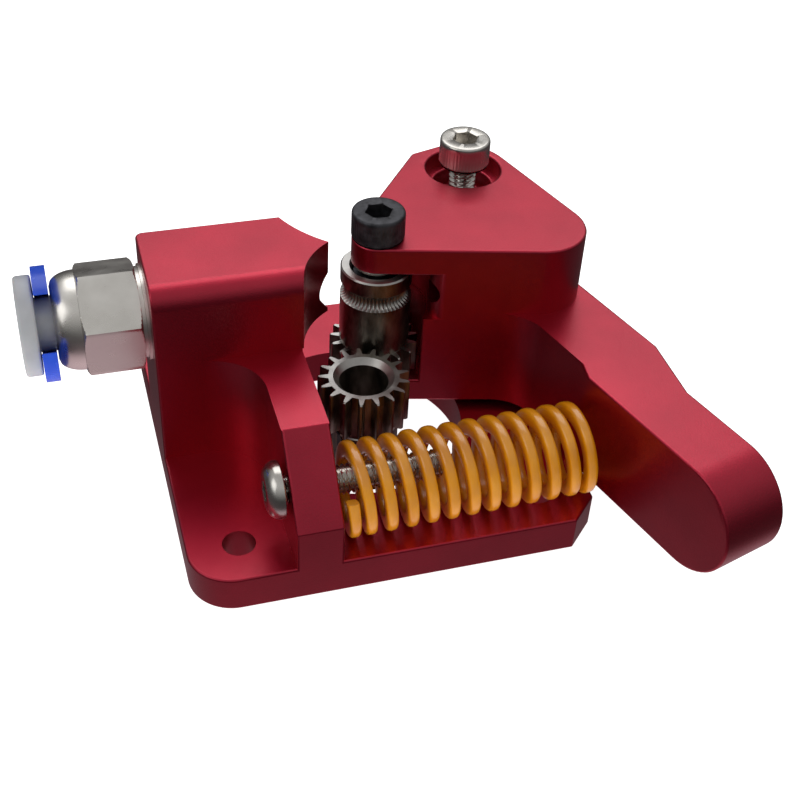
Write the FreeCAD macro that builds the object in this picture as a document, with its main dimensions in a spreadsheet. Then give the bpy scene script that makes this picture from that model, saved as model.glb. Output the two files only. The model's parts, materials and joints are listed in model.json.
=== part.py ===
import FreeCAD, Part
import math
import os
import re

import Sketcher

# Dual-gear filament extruder for a motor with a 31 mm bolt square.
# Millimetres.  Origin on the motor axis, at the underside of the plate.
# +Z up the motor shaft, +X from the tube fitting towards the lever, +Y away
# from the spring.  The lever's pieces are drawn where the lever sits when the
# gears grip filament, then swung about the pivot by lever_swing to the stored
# position, in which the loose drive gear stands against the idler gear.  With
# no motor to hold the pivot screw, the lever has slid by pivot_play along +X.

SIZES = {
    # plate
    "plate_left": -20.7,
    "plate_right": 21.0,
    "plate_front": -20.3,
    "plate_rear": 21.0,
    "plate_thick": 4.0,
    "front_corner_radius": 4.5,
    "pivot_corner_radius": 5.3,
    "rear_corner_radius": 3.0,
    "front_chamfer": 2.95,
    "motor_hole_pitch": 31.0,
    "motor_hole_radius": 1.65,
    "pilot_radius": 11.75,
    "pivot_hole_radius": 2.1,
    # tall block that carries the filament
    "block_front": -1.8,
    "block_rear": 9.5,
    "block_right": -6.0,
    "block_top": 24.6,
    "block_front_fillet": 2.1,
    "block_rear_fillet": 0.8,
    "nose_tip": -2.0,
    "nose_bottom": 16.0,
    "front_scoop_x": 2.4,
    "front_scoop_y": -3.3,
    "front_scoop_radius": 8.4,
    "rear_scoop_x": 7.4,
    "rear_scoop_y": 14.7,
    "rear_scoop_radius": 14.4,
    "filament_y": 4.25,
    "filament_z": 18.65,
    "filament_hole_radius": 1.0,
    "funnel_radius": 2.3,
    "funnel_depth": 1.3,
    # spring post
    "post_left": -10.75,
    "post_right": -6.1,
    "post_top": 16.0,
    "post_slope_rear": -13.7,
    "post_slope_low": 8.6,
    "post_fillet": 5.4,
    # lever, in its gripping position
    "lever_swing": 16.8,
    "pivot_play": 0.55,
    "lever_right": 20.75,
    "lever_bottom": 4.7,
    "lever_top": 24.3,
    "lower_ear_top": 7.5,
    "upper_ear_bottom": 21.3,
    "arm_top": 16.5,
    "lever_rear": 20.8,
    "lever_rear_left": 12.2,
    "lever_nose_fillet": 1.0,
    "lever_corner_fillet": 5.0,
    "front_edge_slope": 30.0,
    "rear_edge_slope": 36.2,
    "ear_radius": 2.7,
    "gear_pocket_radius": 5.4,
    "pocket_step": 15.75,
    "pocket_upper_radius": 5.5,
    "pocket_corner_fillet": 1.75,
    "arm_neck_left": 12.25,
    "arm_left": 11.3,
    "arm_right": 18.5,
    "neck_left_end": -10.9,
    "arm_left_start": -13.3,
    "neck_right_end": -12.7,
    "arm_right_start": -19.9,
    "arm_tip": -34.55,
    "arm_root_fillet": 4.9,
    "arm_root_rear": 4.0,
    "inlet_radius": 1.25,
    "counterbore_radius": 4.13,
    "counterbore_depth": 1.8,
    "head_pocket_radius": 3.15,
    "sleeve_top": 20.8,
    # pivot hardware
    "sleeve_radius": 2.5,
    "sleeve_bore_radius": 1.56,
    "running_gap": 0.05,
    "washer_radius": 4.4,
    "washer_thick": 0.6,
    "thread_radius": 1.5,
    "thread_gap": 0.02,
    "cap_head_radius": 2.75,
    "cap_head_height": 3.0,
    "cap_socket_radius": 1.44,
    "cap_socket_depth": 1.6,
    "cap_rim_chamfer": 0.25,
    "pivot_screw_length": 25.0,
    # gears
    "gear_module": 0.5,
    "gear_teeth": 17,
    "pressure_angle": 20.0,
    "tooth_addendum": 0.42,
    "tooth_dedendum": 0.625,
    "gear_backlash": 0.3,
    "gear_distance": 8.7,
    "mesh_direction": 247.9,
    "mesh_lead": 4.0,
    "idler_y": 8.5,
    "idler_bottom": 7.9,
    "idler_top": 20.8,
    "idler_tooth_length": 3.6,
    "idler_bore_radius": 2.55,
    "drive_length": 12.85,
    "drive_tooth_length": 5.0,
    "drive_bore_radius": 2.51,
    "drive_bore_chamfer": 0.6,
    "hub_radius": 3.75,
    "hob_throat_radius": 0.95,
    "hob_circle_radius": 4.0,
    "hob_from_end": 2.4,
    "grub_hole_height": 6.0,
    "grub_length": 1.2,
    "grub_direction": 205.0,
    # idler axle and needle bearings
    "axle_length": 19.5,
    "shim_radius": 2.4,
    "shim_thick": 0.35,
    "needle_count": 8,
    "needle_radius": 0.5,
    "needle_gap": 0.03,
    "needle_circle_radius": 2.02,
    "needle_length": 4.2,
    "cage_inner_radius": 1.62,
    "cage_outer_radius": 2.42,
    "cage_length": 5.4,
    "cage_gap": 0.5,
    # spring and its guide screw
    "spring_y": -15.5,
    "spring_z": 8.88,
    "spring_outer_radius": 4.75,
    "spring_wire_radial": 1.7,
    "spring_wire_axial": 1.1,
    "spring_start": -5.85,
    "spring_end": 20.3,
    "spring_turns": 12.4,
    "spring_lean": 1.5,
    "guide_z": 10.35,
    "guide_length": 16.0,
    "guide_head_gap": 0.5,
    "button_head_radius": 2.85,
    "button_head_height": 1.65,
    "button_rim_height": 0.15,
    "button_socket_radius": 1.14,
    "button_socket_depth": 1.1,
    # push-in tube fitting
    "fitting_thread_radius": 2.95,
    "fitting_thread_length": 5.5,
    "fitting_thread_run_out": 0.5,
    "fitting_flange_radius": 4.85,
    "fitting_flange_length": 0.7,
    "hex_circumradius": 5.77,
    "hex_left": -27.2,
    "hex_turn": 10.0,
    "barrel_radius": 5.0,
    "barrel_left": -29.7,
    "barrel_fillet": 1.3,
    "tube_radius": 2.05,
    "tube_stop": -21.5,
    "collet_bore_radius": 3.25,
    "collet_bore_end": -24.6,
    "collet_lip_radius": 2.9,
    "collet_lip_end": -28.8,
    "collet_neck_radius": 2.75,
    "collet_stem_radius": 3.15,
    "collet_stem_start": -28.7,
    "collet_stem_end": -27.4,
    "collar_left": -33.0,
    "collar_right": -31.3,
    "collar_radius": 5.0,
    "clip_inner_radius": 2.85,
    "clip_outer_radius": 5.75,
    "clip_left": -31.2,
    "clip_right": -29.8,
    "clip_opening": 5.6,
    "clip_tilt": 36.0,
    "grip_ring_left": -26.9,
    "grip_ring_thick": 0.4,
    "seal_ring_centre": -25.4,
    "seal_section_radius": 0.55,
    # how far a feature runs into its neighbour, or a cut past a face
    "overlap": 1.0,
    # rounding of milled edges, and what is left sharp
    "edge_break": 0.25,
    "edge_probe": 0.02,
    "shortest_edge": 1.0,
    "small_hole_rim": 15.0,
    "least_fold": 25.0,
    "most_removed": 60.0,
}

doc = FreeCAD.newDocument("extruder")
sheet = doc.addObject("Spreadsheet::Sheet", "Sizes")
for row, (alias, size) in enumerate(SIZES.items(), start=1):
    sheet.set(f"A{row}", alias)
    sheet.set(f"B{row}", str(size))
    sheet.setAlias(f"B{row}", alias)
doc.recompute()

ALONG_X = FreeCAD.Rotation(FreeCAD.Vector(0, 1, 0), 90)
SUB_PARTS = []


def expand(text):
    """Write Sizes. before every alias in an expression."""
    return re.sub(r"\b[a-z_]+\b", lambda word: qualify(word.group()), text)


def qualify(word):
    return "Sizes." + word if word in SIZES else word


def number(text):
    """The value of an expression in aliases, as a plain float."""
    return float(sheet.evalExpression(expand(str(text))))


def bind(thing, path, text):
    """Drive a property from the sheet."""
    thing.setExpression(path, expand(str(text)))


def new_body(label):
    body = doc.addObject("PartDesign::Body", label)
    body.Label = label
    SUB_PARTS.append(body)
    return body


def origin_plane(body, role):
    return next(item for item in body.Origin.OriginFeatures if item.Role == role)


def place_feature(feature, at, rotation):
    feature.Placement = FreeCAD.Placement(FreeCAD.Vector(), rotation)
    for axis, text in zip("xyz", at):
        if text != "0":
            bind(feature, f"Placement.Base.{axis}", text)


def box(body, kind, name, low, high):
    """Add or cut a box between two corners given as expressions."""
    feature = body.newObject(f"PartDesign::{kind}Box", name)
    place_feature(feature, low, FreeCAD.Rotation())
    for side, start, end in zip(("Length", "Width", "Height"), low, high):
        bind(feature, side, f"({end}) - ({start})")
    return feature


def cylinder(body, kind, name, radius, at, length, rotation=FreeCAD.Rotation()):
    feature = body.newObject(f"PartDesign::{kind}Cylinder", name)
    place_feature(feature, at, rotation)
    bind(feature, "Radius", radius)
    bind(feature, "Height", length)
    return feature


def cone(body, kind, name, radii, at, length, rotation=FreeCAD.Rotation()):
    feature = body.newObject(f"PartDesign::{kind}Cone", name)
    place_feature(feature, at, rotation)
    bind(feature, "Radius1", radii[0])
    bind(feature, "Radius2", radii[1])
    bind(feature, "Height", length)
    return feature


def hexagon(body, kind, name, radius, at, length, rotation=FreeCAD.Rotation()):
    feature = body.newObject(f"PartDesign::{kind}Prism", name)
    feature.Polygon = 6
    place_feature(feature, at, rotation)
    bind(feature, "Circumradius", radius)
    bind(feature, "Height", length)
    return feature


def outline(body, name, role, corners):
    """A closed polygon sketch with both coordinates of each corner bound."""
    sketch = body.newObject("Sketcher::SketchObject", name)
    sketch.AttachmentSupport = [(origin_plane(body, role), "")]
    sketch.MapMode = "FlatFace"
    points = [FreeCAD.Vector(number(x), number(y), 0) for x, y in corners]
    count = len(points)
    for index in range(count):
        sketch.addGeometry(Part.LineSegment(points[index], points[(index + 1) % count]))
    for index in range(count):
        sketch.addConstraint(Sketcher.Constraint("Coincident", index, 2, (index + 1) % count, 1))
    for index, corner in enumerate(corners):
        for kind, text in zip(("DistanceX", "DistanceY"), corner):
            datum = Sketcher.Constraint(kind, -1, 1, index, 1, number(text))
            place = sketch.addConstraint(datum)
            bind(sketch, f"Constraints[{place}]", text)
    return sketch


def pad(body, name, sketch, start, length):
    """Pad a sketch along its plane's normal, from start."""
    bind(sketch, "AttachmentOffset.Base.z", start)
    feature = body.newObject("PartDesign::Pad", name)
    feature.Profile = sketch
    bind(feature, "Length", length)
    return feature


def edge_names(shape, wanted):
    return [f"Edge{i}" for i, edge in enumerate(shape.Edges, start=1) if wanted(edge)]


def stands_at(x, y, low=None):
    """Pick the vertical edges at a place, or only the one that starts at low."""
    def wanted(edge):
        box_of = edge.BoundBox
        here = math.hypot(box_of.Center.x - x, box_of.Center.y - y) < 0.02
        thin = box_of.XLength < 0.01 and box_of.YLength < 0.01
        return here and thin and (low is None or abs(box_of.ZMin - low) < 0.01)
    return wanted


def dress(body, kind, name, size_name, size_text, wanted):
    """Fillet or chamfer the chosen edges of what the body holds so far."""
    doc.recompute()
    base = body.Tip
    names = edge_names(base.Shape, wanted)
    if not names:
        raise RuntimeError(f"{name}: no such edge")
    feature = body.newObject(f"PartDesign::{kind}", name)
    feature.Base = (base, names)
    bind(feature, size_name, size_text)
    doc.recompute()
    return feature


def round_upright(body, name, x, y, radius, low=None):
    edge = stands_at(number(x), number(y), None if low is None else number(low))
    return dress(body, "Fillet", name, "Radius", radius, edge)


def swing_with_lever(piece):
    """Turn a piece drawn in the gripping position about the pivot."""
    half = "motor_hole_pitch / 2"
    cosine = "cos(lever_swing)"
    sine = "sin(lever_swing)"
    piece.Placement = FreeCAD.Placement(
        FreeCAD.Vector(), FreeCAD.Rotation(FreeCAD.Vector(0, 0, 1), number("lever_swing")))
    bind(piece, "Placement.Rotation.Angle", "lever_swing * 1 deg")
    bind(piece, "Placement.Base.x", f"{half} * (1 - {cosine} + {sine}) + pivot_play")
    bind(piece, "Placement.Base.y", f"{half} * (1 - {cosine} - {sine})")


# ------------------------------------------------------------- broken edges

INSIDE_TOLERANCE = 1e-5


def outward_normal(solid, face, point, probe):
    """The face's normal at a point, turned so that it leaves the solid."""
    normal = face.normalAt(*face.Surface.parameter(point))
    inside = solid.isInside(point + normal * probe, INSIDE_TOLERANCE, False)
    return normal * -1 if inside else normal


def folds_outward(solid, edge, faces):
    """True where the two faces of an edge meet at a sharp convex angle."""
    probe = number("edge_probe")
    point = edge.valueAt((edge.FirstParameter + edge.LastParameter) / 2)
    first, second = (outward_normal(solid, face, point, probe) for face in faces)
    if first.getAngle(second) < math.radians(number("least_fold")):
        return False
    across = first - second
    across.normalize()
    return not solid.isInside(point + across * probe, INSIDE_TOLERANCE, False)


def wants_rounding(edge, stays_sharp):
    """Straight and round edges of some length, but no rims of small holes."""
    if isinstance(edge.Curve, Part.BSplineCurve) or edge.Length < number("shortest_edge"):
        return False
    if edge.isClosed() and edge.Length < number("small_hole_rim"):
        return False
    return not stays_sharp(edge.CenterOfMass)


def takes_rounding(solid, indices, radius):
    """Whether these edges can be rounded together and leave one good solid."""
    try:
        shape = solid.makeFillet(radius, [solid.Edges[i] for i in indices])
    except Part.OCCError:
        return False
    whole = shape.isValid() and len(shape.Solids) == 1
    return whole and 0 < solid.Volume - shape.Volume < number("most_removed")


def break_edges(body, stays_sharp=lambda centre: False):
    """Round the sharp outer edges of a milled piece, the longest first."""
    doc.recompute()
    base = body.Tip
    solid = base.Shape.Solids[0]
    owners = {}
    for face in solid.Faces:
        for edge in face.Edges:
            owners.setdefault(edge.hashCode(), []).append(face)
    wanted = []
    for index, edge in enumerate(solid.Edges):
        faces = owners[edge.hashCode()]
        if len(faces) == 2 and wants_rounding(edge, stays_sharp) and folds_outward(solid, edge, faces):
            wanted.append(index)
    kept = []
    for index in sorted(wanted, key=lambda place: -solid.Edges[place].Length):
        if takes_rounding(solid, kept + [index], number("edge_break")):
            kept.append(index)
    feature = body.newObject("PartDesign::Fillet", body.Label + "_broken_edges")
    feature.Base = (base, [f"Edge{index + 1}" for index in kept])
    bind(feature, "Radius", "edge_break")
    doc.recompute()


# ------------------------------------------------------------------ frame

def build_frame():
    """Plate, spring post and filament block, milled from one piece."""
    body = new_body("frame_block")
    add_plate(body)
    add_filament_block(body)
    add_spring_post(body)
    cut_motor_openings(body)
    cut_filament_path(body)
    break_edges(body, stays_sharp_on_frame)


def stays_sharp_on_frame(centre):
    """Edges level with the post's top, and those of the nose, stay sharp."""
    level = abs(centre.z - number("post_top")) < number("edge_probe")
    on_nose = centre.x > number("block_right") and centre.z > number("nose_bottom")
    return level or on_nose


def add_plate(body):
    box(body, "Additive", "plate", ("plate_left", "plate_front", "0"),
        ("plate_right", "plate_rear", "plate_thick"))
    round_upright(body, "plate_front_corner", "plate_left", "plate_front", "front_corner_radius")
    round_upright(body, "plate_pivot_corner", "plate_right", "plate_rear", "pivot_corner_radius")
    round_upright(body, "plate_rear_corner", "plate_left", "plate_rear", "rear_corner_radius")
    corner = stands_at(number("plate_right"), number("plate_front"))
    dress(body, "Chamfer", "plate_chamfer", "Size", "front_chamfer", corner)


def add_filament_block(body):
    box(body, "Additive", "block", ("plate_left", "block_front", "0"),
        ("block_right", "block_rear", "block_top"))
    round_upright(body, "block_rear_edge", "plate_left", "block_rear", "block_rear_fillet")
    box(body, "Additive", "nose", ("block_right - overlap", "block_front", "nose_bottom"),
        ("nose_tip", "block_rear", "block_top"))

    def top_front(edge):
        span = edge.BoundBox
        along = span.XLength > 5 and span.YLength < 0.01 and span.ZLength < 0.01
        low = abs(span.YMin - number("block_front")) < 0.01
        return along and low and abs(span.ZMin - number("block_top")) < 0.01

    dress(body, "Fillet", "block_front_round", "Radius", "block_front_fillet", top_front)
    for side in ("front", "rear"):
        cylinder(body, "Subtractive", f"{side}_scoop", f"{side}_scoop_radius",
                 (f"{side}_scoop_x", f"{side}_scoop_y", "nose_bottom"),
                 "block_top - nose_bottom + overlap")


def add_spring_post(body):
    """The post with its sloped face, and the hollow that joins it to the block."""
    inside = "block_front + overlap"
    foot = "plate_thick - overlap"
    corners = [("plate_front", foot), (inside, foot),
               (inside, "post_top"), ("post_slope_rear", "post_top"),
               ("plate_front", "post_slope_low")]
    profile = outline(body, "post_profile", "YZ_Plane", corners)
    pad(body, "post", profile, "post_left", "post_right - post_left")
    box(body, "Additive", "post_web",
        ("post_left - post_fillet", "block_front - post_fillet", foot),
        ("post_left + overlap", inside, "post_top"))
    cylinder(body, "Subtractive", "post_hollow", "post_fillet",
             ("post_left - post_fillet", "block_front - post_fillet", "plate_thick"),
             "post_top - plate_thick")
    cylinder(body, "Subtractive", "guide_hole", "thread_radius + thread_gap",
             ("post_left - overlap", "spring_y", "guide_z"),
             "post_right - post_left + 2 * overlap", ALONG_X)


def cut_motor_openings(body):
    cylinder(body, "Subtractive", "pilot_opening", "pilot_radius", ("0", "0", "-overlap"),
             "plate_thick + overlap")
    half = "motor_hole_pitch / 2"
    for name, x, y in (("front_left", f"-{half}", f"-{half}"), ("front_right", half, f"-{half}"),
                       ("rear_left", f"-{half}", half), ("pivot", half, half)):
        radius = "pivot_hole_radius" if name == "pivot" else "motor_hole_radius"
        cylinder(body, "Subtractive", f"{name}_hole", radius, (x, y, "-overlap"),
                 "plate_thick + 2 * overlap")


def cut_filament_path(body):
    centre = ("filament_y", "filament_z")
    cylinder(body, "Subtractive", "fitting_thread", "fitting_thread_radius",
             ("plate_left - overlap", *centre),
             "fitting_thread_length + fitting_thread_run_out + overlap", ALONG_X)
    cylinder(body, "Subtractive", "filament_hole", "filament_hole_radius",
             ("plate_left", *centre), "nose_tip - plate_left + overlap", ALONG_X)
    cone(body, "Subtractive", "filament_funnel", ("filament_hole_radius", "funnel_radius"),
         ("nose_tip - funnel_depth", *centre), "funnel_depth", ALONG_X)


# ------------------------------------------------------------------ lever

def front_edge_y(x):
    """Height of the lever's slanted front edge, tangent to the ear, at x."""
    run = f"({x}) * tan(front_edge_slope)"
    return f"idler_y - ear_radius / cos(front_edge_slope) - {run}"


def build_lever():
    body = new_body("lever_arm")
    add_lever_plate(body)
    add_arm(body)
    cut_gear_pocket(body)
    cut_pivot(body)
    break_edges(body)
    swing_with_lever(body)


def add_lever_plate(body):
    """The rounded triangle that covers gear and pivot, as deep as the lever."""
    ear_left = "-ear_radius * sin(front_edge_slope)"
    ear_low = "idler_y - ear_radius * cos(front_edge_slope)"
    corners = [(ear_left, ear_low), ("lever_right", front_edge_y("lever_right")),
               ("lever_right", "lever_rear"), ("lever_rear_left", "lever_rear"),
               ("-ear_radius * sin(rear_edge_slope)",
                "idler_y + ear_radius * cos(rear_edge_slope)")]
    sketch = outline(body, "lever_outline", "XY_Plane", corners)
    pad(body, "lever_plate", sketch, "lever_bottom", "lever_top - lever_bottom")
    round_upright(body, "lever_pivot_corner", "lever_right", "lever_rear", "pivot_corner_radius")
    round_upright(body, "lever_rear_corner", "lever_rear_left", "lever_rear", "lever_nose_fillet")
    round_upright(body, "lever_front_corner", "lever_right", front_edge_y("lever_right"),
                  "lever_corner_fillet")
    cylinder(body, "Additive", "lever_ear", "ear_radius", ("0", "idler_y", "lever_bottom"),
             "lever_top - lever_bottom")


def add_arm(body):
    """The handle: a narrowing bar with a half-round tip."""
    round_radius = "(arm_top - lever_bottom) / 2"
    straight_end = f"arm_tip + {round_radius}"
    corners = [("arm_neck_left", front_edge_y("arm_neck_left")), ("arm_neck_left", "neck_left_end"),
               ("arm_left", "arm_left_start"), ("arm_left", straight_end),
               ("arm_right", straight_end), ("arm_right", "arm_right_start"),
               ("lever_right", "neck_right_end"), ("lever_right", "arm_root_rear"),
               ("arm_neck_left", "arm_root_rear")]
    sketch = outline(body, "arm_outline", "XY_Plane", corners)
    pad(body, "arm", sketch, "lever_bottom", "arm_top - lever_bottom")
    cylinder(body, "Additive", "arm_tip_round", round_radius,
             ("arm_left", straight_end, f"lever_bottom + {round_radius}"),
             "arm_right - arm_left", ALONG_X)
    round_upright(body, "arm_root", "arm_neck_left", front_edge_y("arm_neck_left"),
                  "arm_root_fillet")


def cut_gear_pocket(body):
    """The space between the two ears, with a rounded corner over the step."""
    cylinder(body, "Subtractive", "gear_pocket", "gear_pocket_radius",
             ("0", "idler_y", "lower_ear_top"), "upper_ear_bottom - lower_ear_top")
    cylinder(body, "Subtractive", "gear_pocket_upper", "pocket_upper_radius",
             ("0", "idler_y", "pocket_step"), "upper_ear_bottom - pocket_step")
    corner_x, corner_y = pocket_corner()
    round_upright(body, "pocket_corner", corner_x, corner_y, "pocket_corner_fillet", "pocket_step")
    cylinder(body, "Subtractive", "axle_hole", "thread_radius + thread_gap",
             ("0", "idler_y", "lever_bottom - overlap"), "lever_top - lever_bottom + 2 * overlap")
    cylinder(body, "Subtractive", "filament_inlet", "inlet_radius",
             ("0", "filament_y", "filament_z"), "lever_right + overlap", ALONG_X)


def pocket_corner():
    """Where the upper pocket's wall meets the slanted front edge."""
    chord = "sqrt(pocket_upper_radius ^ 2 - ear_radius ^ 2)"
    x = f"-ear_radius * sin(front_edge_slope) + {chord} * cos(front_edge_slope)"
    y = f"idler_y - ear_radius * cos(front_edge_slope) - {chord} * sin(front_edge_slope)"
    return x, y


def cut_pivot(body):
    half = "motor_hole_pitch / 2"
    cylinder(body, "Subtractive", "sleeve_bore", "sleeve_radius + running_gap",
             (half, half, "lever_bottom - overlap"), "sleeve_top - lever_bottom + 1.5 * overlap")
    cylinder(body, "Subtractive", "head_pocket", "head_pocket_radius",
             (half, half, "sleeve_top - running_gap"), "lever_top - sleeve_top + overlap")
    cylinder(body, "Subtractive", "counterbore", "counterbore_radius",
             (half, half, "lever_top - counterbore_depth"), "counterbore_depth + overlap")


# ---------------------------------------------------------------- fasteners

def cap_screw(label, x, y, seat, length):
    """Socket head cap screw standing on Z, its head's underside at seat."""
    body = new_body(label)
    cylinder(body, "Additive", label + "_shank", "thread_radius", (x, y, f"({seat}) - ({length})"),
             length)
    cylinder(body, "Additive", label + "_head", "cap_head_radius", (x, y, seat),
             "cap_head_height")
    top = f"({seat}) + cap_head_height"
    hexagon(body, "Subtractive", label + "_socket", "cap_socket_radius",
            (x, y, f"{top} - cap_socket_depth"), "cap_socket_depth + overlap")

    def rim(edge):
        span = edge.BoundBox
        return abs(span.ZMin - number(top)) < 0.01 and span.XLength > number("cap_head_radius")

    dress(body, "Chamfer", label + "_rim", "Size", "cap_rim_chamfer", rim)
    return body


def build_pivot_hardware():
    y = "motor_hole_pitch / 2"
    x = f"{y} + pivot_play"
    cap_screw("pivot_screw", x, y, "pivot_screw_length", "pivot_screw_length")
    ring("pivot_sleeve", x, y, "plate_thick", "sleeve_top - plate_thick", "sleeve_radius",
         "sleeve_bore_radius")
    ring("pivot_washer", x, y, "plate_thick", "washer_thick", "washer_radius",
         "sleeve_radius + running_gap")


def ring(label, x, y, low, thick, outer, inner):
    body = new_body(label)
    cylinder(body, "Additive", label + "_disc", outer, (x, y, low), thick)
    cylinder(body, "Subtractive", label + "_hole", inner, (x, y, f"({low}) - overlap"),
             f"({thick}) + 2 * overlap")
    return body


def build_guide_screw():
    """Button head screw through the post; its shank guides the spring."""
    body = new_body("spring_guide_screw")
    centre = ("spring_y", "guide_z")
    head_right = "post_left - guide_head_gap"
    head_left = f"{head_right} - button_head_height"
    cylinder(body, "Additive", "guide_shank", "thread_radius", (head_right, *centre),
             "guide_length", ALONG_X)
    cylinder(body, "Additive", "guide_head", "button_head_radius", (head_left, *centre),
             "button_head_height", ALONG_X)

    def rim(edge):
        span = edge.BoundBox
        flat = span.XLength < 0.01 and span.YLength > number("button_head_radius")
        return flat and abs(span.XMin - number(head_left)) < 0.01

    dress(body, "Fillet", "guide_dome", "Radius",
          "button_head_height - button_rim_height", rim)
    hexagon(body, "Subtractive", "guide_socket", "button_socket_radius",
            (f"{head_left} - overlap", *centre), "button_socket_depth + overlap", ALONG_X)


# ------------------------------------------------------------------- gears

def tooth_flank(angle_shift, sign, base, tip, centre_angle):
    """Three points of an involute, from the base circle out to the tip."""
    points = []
    for radius in (base, (base + tip) / 2, tip):
        roll = math.sqrt(max((radius / base) ** 2 - 1, 0))
        turn = centre_angle + sign * (angle_shift - (roll - math.atan(roll)))
        points.append(FreeCAD.Vector(radius * math.cos(turn), radius * math.sin(turn), 0))
    return points


def toothed_face(tooth_direction):
    """Face of the toothed band, with one tooth centred on tooth_direction."""
    count = int(number("gear_teeth"))
    pitch = number("gear_module") * count / 2
    pressure = math.radians(number("pressure_angle"))
    base = pitch * math.cos(pressure)
    tip = pitch + number("tooth_addendum")
    root = pitch - number("tooth_dedendum")
    thick = math.pi * number("gear_module") / 2 - number("gear_backlash")
    shift = thick / (2 * pitch) + math.tan(pressure) - pressure
    edges = []
    first = last_root = None
    for index in range(count):
        centre = math.radians(tooth_direction) + 2 * math.pi * index / count
        rising = tooth_flank(shift, -1, base, tip, centre)
        falling = tooth_flank(shift, 1, base, tip, centre)[::-1]
        foot = rising[0] * (root / base)
        toe = falling[-1] * (root / base)
        if last_root is not None:
            edges.append(Part.LineSegment(last_root, foot).toShape())
        else:
            first = foot
        edges.append(Part.LineSegment(foot, rising[0]).toShape())
        edges.append(Part.Arc(*rising).toShape())
        edges.append(Part.LineSegment(rising[-1], falling[0]).toShape())
        edges.append(Part.Arc(*falling).toShape())
        edges.append(Part.LineSegment(falling[-1], toe).toShape())
        last_root = toe
    edges.append(Part.LineSegment(last_root, first).toShape())
    return Part.Face(Part.Wire(edges))


def gear_shape(length, tooth_low, tooth_length, bore, hob_height, tooth_direction):
    """A toothed band on a round hub with the hobbed groove that grips filament."""
    hub = Part.makeCylinder(number("hub_radius"), length)
    band = toothed_face(tooth_direction).extrude(FreeCAD.Vector(0, 0, tooth_length))
    band.translate(FreeCAD.Vector(0, 0, tooth_low))
    groove = Part.makeTorus(number("hob_circle_radius"), number("hob_throat_radius"),
                            FreeCAD.Vector(0, 0, hob_height))
    over = number("overlap")
    hole = Part.makeCylinder(bore, length + 2 * over, FreeCAD.Vector(0, 0, -over))
    return hub.fuse(band).cut(groove).cut(hole).removeSplitter()


def add_shape(label, shape, placement):
    piece = doc.addObject("Part::Feature", label)
    piece.Label = label
    piece.Shape = shape
    piece.Placement = placement
    SUB_PARTS.append(piece)
    return piece


def idler_stored():
    """The idler axis once the lever is swung to its stored position."""
    half = number("motor_hole_pitch / 2")
    swing = math.radians(number("lever_swing"))
    across = number("idler_y") - half
    turned_x = -half * math.cos(swing) - across * math.sin(swing)
    turned_y = -half * math.sin(swing) + across * math.cos(swing)
    return FreeCAD.Vector(half + number("pivot_play") + turned_x, half + turned_y, 0)


def drive_stored():
    """The drive gear's axis, at the mesh distance in front of the idler."""
    toward = math.radians(number("mesh_direction"))
    reach = number("gear_distance")
    return idler_stored() + FreeCAD.Vector(reach * math.cos(toward), reach * math.sin(toward), 0)


def build_idler_gear():
    length = number("idler_top - idler_bottom")
    hob = number("filament_z - idler_bottom")
    direction = number("mesh_direction - lever_swing")
    shape = gear_shape(length, 0, number("idler_tooth_length"), number("idler_bore_radius"),
                       hob, direction)
    lever_turn = FreeCAD.Rotation(FreeCAD.Vector(0, 0, 1), number("lever_swing"))
    place = idler_stored() + FreeCAD.Vector(0, 0, number("idler_bottom"))
    add_shape("idler_gear", shape, FreeCAD.Placement(place, lever_turn))


def build_drive_gear():
    """The drive gear stands on the end that carries its hob, teeth uppermost."""
    length = number("drive_length")
    teeth = number("drive_tooth_length")
    facing = number("mesh_direction") + 180
    half_tooth = 180.0 / number("gear_teeth")
    bore = number("drive_bore_radius")
    shape = gear_shape(length, length - teeth, teeth, bore, number("hob_from_end"),
                       facing + half_tooth + number("mesh_lead"))
    chamfer = number("drive_bore_chamfer")
    mouth = Part.makeCone(bore, bore + chamfer, chamfer, FreeCAD.Vector(0, 0, length - chamfer))
    shape = shape.cut(mouth)
    toward = math.radians(number("grub_direction"))
    aim = FreeCAD.Vector(math.cos(toward), math.sin(toward), 0)
    height = FreeCAD.Vector(0, 0, number("grub_hole_height"))
    hole = Part.makeCylinder(number("thread_radius"), number("hub_radius + overlap"), height, aim)
    place = FreeCAD.Placement(drive_stored(), FreeCAD.Rotation())
    add_shape("drive_gear", shape.cut(hole), place)
    start = height + aim * (bore + number("thread_gap"))
    screw = Part.makeCylinder(number("thread_radius - thread_gap"), number("grub_length"),
                              start, aim)
    add_shape("drive_grub_screw", screw, place)


# ---------------------------------------------------------- idler's bearings

def build_idler_axle():
    axle = cap_screw("idler_axle_screw", "0", "idler_y", "lever_top", "axle_length")
    swing_with_lever(axle)
    inner = "thread_radius + running_gap"
    low = ring("idler_shim_lower", "0", "idler_y", "lower_ear_top", "shim_thick",
               "shim_radius", inner)
    high = ring("idler_shim_upper", "0", "idler_y", "upper_ear_bottom - shim_thick",
                "shim_thick", "shim_radius", inner)
    for shim in (low, high):
        swing_with_lever(shim)


def cage_bottom(place):
    """The lower end of one of the two needle cages, centred in the gear."""
    middle = number("(idler_bottom + idler_top) / 2")
    gap = number("cage_gap")
    if place == "lower":
        return middle - gap / 2 - number("cage_length")
    return middle + gap / 2


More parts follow.
